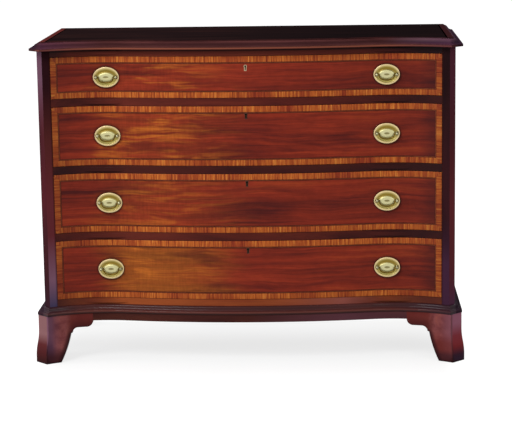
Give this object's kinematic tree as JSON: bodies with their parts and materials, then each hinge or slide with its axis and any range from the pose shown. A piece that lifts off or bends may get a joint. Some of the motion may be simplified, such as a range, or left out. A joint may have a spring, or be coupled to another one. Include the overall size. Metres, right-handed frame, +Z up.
{
  "type": "serpentine chest of drawers",
  "caption": "Serpentine-fronted chest with a moulded top, canted corners, crossbanded sliding drawers, brass bail pulls and bracket feet.",
  "frame": {"origin": "on the floor, at the middle of the object's box", "axes": "+Z up, the drawers open towards -Y, +X to the viewer's right"},
  "size_m": [1.238, 0.5408, 0.926],
  "materials": {
    "show_wood": "polished mahogany",
    "banding": "polished veneer",
    "inner_wood": "plain planed",
    "brass": "aged, polished"
  },
  "bodies": {
    "carcass": {"top_board": "show_wood", "left_side": "show_wood", "right_side": "show_wood", "left_corner_post": "show_wood", "right_corner_post": "show_wood", "back_boards": "inner_wood", "bottom_board": "inner_wood", "top_rail": "show_wood", "drawer_dividers": "show_wood", "bottom_rail": "show_wood", "dust_boards": "inner_wood", "drawer_runners": "inner_wood", "drawer_stops": "inner_wood", "base_moulding": "show_wood", "base_aprons": "show_wood", "front_left_foot": "show_wood", "front_right_foot": "show_wood", "rear_left_foot": "show_wood", "rear_right_foot": "show_wood", "foot_blocks": "inner_wood"},
    "drawer_1": {"drawer_1_front": "show_wood", "drawer_1_crossbanding": "banding", "drawer_1_sides": "inner_wood", "drawer_1_back": "inner_wood", "drawer_1_bottom": "inner_wood", "drawer_1_pull_plates": "brass", "drawer_1_pull_posts": "brass", "drawer_1_lock": "brass"},
    "drawer_1_left_bail": {"drawer_1_left_bail": "brass"},
    "drawer_1_right_bail": {"drawer_1_right_bail": "brass"},
    "drawer_2": {"drawer_2_front": "show_wood", "drawer_2_crossbanding": "banding", "drawer_2_sides": "inner_wood", "drawer_2_back": "inner_wood", "drawer_2_bottom": "inner_wood", "drawer_2_pull_plates": "brass", "drawer_2_pull_posts": "brass", "drawer_2_lock": "brass"},
    "drawer_2_left_bail": {"drawer_2_left_bail": "brass"},
    "drawer_2_right_bail": {"drawer_2_right_bail": "brass"},
    "drawer_3": {"drawer_3_front": "show_wood", "drawer_3_crossbanding": "banding", "drawer_3_sides": "inner_wood", "drawer_3_back": "inner_wood", "drawer_3_bottom": "inner_wood", "drawer_3_pull_plates": "brass", "drawer_3_pull_posts": "brass", "drawer_3_lock": "brass"},
    "drawer_3_left_bail": {"drawer_3_left_bail": "brass"},
    "drawer_3_right_bail": {"drawer_3_right_bail": "brass"},
    "drawer_4": {"drawer_4_front": "show_wood", "drawer_4_crossbanding": "banding", "drawer_4_sides": "inner_wood", "drawer_4_back": "inner_wood", "drawer_4_bottom": "inner_wood", "drawer_4_pull_plates": "brass", "drawer_4_pull_posts": "brass", "drawer_4_lock": "brass"},
    "drawer_4_left_bail": {"drawer_4_left_bail": "brass"},
    "drawer_4_right_bail": {"drawer_4_right_bail": "brass"}
  },
  "joints": [
    {"name": "drawer_1_slide", "type": "slide", "parent": "carcass", "child": "drawer_1", "axis": [0, -1, 0], "range_m": [0, 0.34]},
    {"name": "drawer_1_left_bail_swing", "type": "hinge", "parent": "drawer_1", "child": "drawer_1_left_bail", "pos_m": [-0.399, -0.20645, 0.823], "axis": [-1, 0, 0], "range_deg": [-5, 170]},
    {"name": "drawer_1_right_bail_swing", "type": "hinge", "parent": "drawer_1", "child": "drawer_1_right_bail", "pos_m": [0.399, -0.20645, 0.823], "axis": [-1, 0, 0], "range_deg": [-5, 170]},
    {"name": "drawer_2_slide", "type": "slide", "parent": "carcass", "child": "drawer_2", "axis": [0, -1, 0], "range_m": [0, 0.34]},
    {"name": "drawer_2_left_bail_swing", "type": "hinge", "parent": "drawer_2", "child": "drawer_2_left_bail", "pos_m": [-0.399, -0.20645, 0.65475], "axis": [-1, 0, 0], "range_deg": [-5, 170]},
    {"name": "drawer_2_right_bail_swing", "type": "hinge", "parent": "drawer_2", "child": "drawer_2_right_bail", "pos_m": [0.399, -0.20645, 0.65475], "axis": [-1, 0, 0], "range_deg": [-5, 170]},
    {"name": "drawer_3_slide", "type": "slide", "parent": "carcass", "child": "drawer_3", "axis": [0, -1, 0], "range_m": [0, 0.34]},
    {"name": "drawer_3_left_bail_swing", "type": "hinge", "parent": "drawer_3", "child": "drawer_3_left_bail", "pos_m": [-0.399, -0.20645, 0.46025], "axis": [-1, 0, 0], "range_deg": [-5, 170]},
    {"name": "drawer_3_right_bail_swing", "type": "hinge", "parent": "drawer_3", "child": "drawer_3_right_bail", "pos_m": [0.399, -0.20645, 0.46025], "axis": [-1, 0, 0], "range_deg": [-5, 170]},
    {"name": "drawer_4_slide", "type": "slide", "parent": "carcass", "child": "drawer_4", "axis": [0, -1, 0], "range_m": [0, 0.34]},
    {"name": "drawer_4_left_bail_swing", "type": "hinge", "parent": "drawer_4", "child": "drawer_4_left_bail", "pos_m": [-0.399, -0.20645, 0.26575], "axis": [-1, 0, 0], "range_deg": [-5, 170]},
    {"name": "drawer_4_right_bail_swing", "type": "hinge", "parent": "drawer_4", "child": "drawer_4_right_bail", "pos_m": [0.399, -0.20645, 0.26575], "axis": [-1, 0, 0], "range_deg": [-5, 170]}
  ]
}
